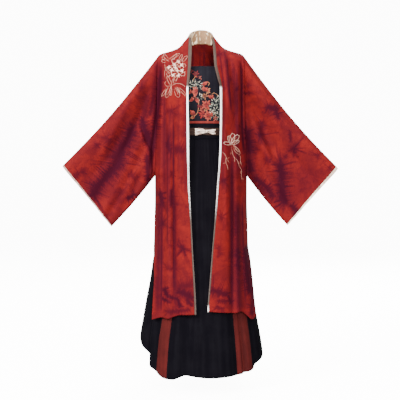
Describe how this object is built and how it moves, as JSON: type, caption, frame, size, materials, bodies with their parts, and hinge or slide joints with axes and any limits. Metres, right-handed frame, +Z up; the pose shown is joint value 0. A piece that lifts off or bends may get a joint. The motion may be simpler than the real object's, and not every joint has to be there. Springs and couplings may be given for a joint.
{
  "type": "hanfu robe set",
  "caption": "Open-front tie-dyed robe with wide flared sleeves over an embroidered chest wrap and a full floor-length skirt with a bow belt, worn shape.",
  "frame": {"origin": "base of the neck, on the middle plane between the two shoulder seams", "axes": "+Z up, the front faces -Y, the wearer's left is +X"},
  "size_m": [1.1496, 0.4154, 1.4347],
  "materials": {
    "robe_red": "tie-dyed matt crepe, red with purple blotches",
    "cuff_binding": "matt cream binding",
    "brocade": "champagne brocade with a soft sheen",
    "wrap_black": "black weave with coloured embroidery",
    "wrap_red": "matt red weave",
    "skirt_black": "matt black crepe",
    "gore_red": "matt red-brown crepe",
    "belt_brown": "dark brown ribbon",
    "bow_cream": "cream satin ribbon"
  },
  "bodies": {
    "root": {"robe_back_right": "robe_red", "robe_back_left": "robe_red", "robe_front_right": "robe_red", "robe_front_left": "robe_red", "sleeve_right": "robe_red", "sleeve_left": "robe_red", "cuff_right": "cuff_binding", "cuff_left": "cuff_binding", "collar_outer": "robe_red", "collar_facing": "brocade", "front_band_right": "brocade", "front_band_left": "brocade", "wrap_front": "wrap_black", "wrap_back": "wrap_black", "wrap_band": "wrap_red", "skirt_waistband": "skirt_black", "skirt_front": "skirt_black", "skirt_side_right": "skirt_black", "skirt_side_left": "skirt_black", "skirt_back": "skirt_black", "godet_right": "gore_red", "godet_left": "gore_red", "belt": "belt_brown", "bow_right": "bow_cream", "bow_left": "bow_cream", "bow_knot": "bow_cream"}
  },
  "joints": []
}
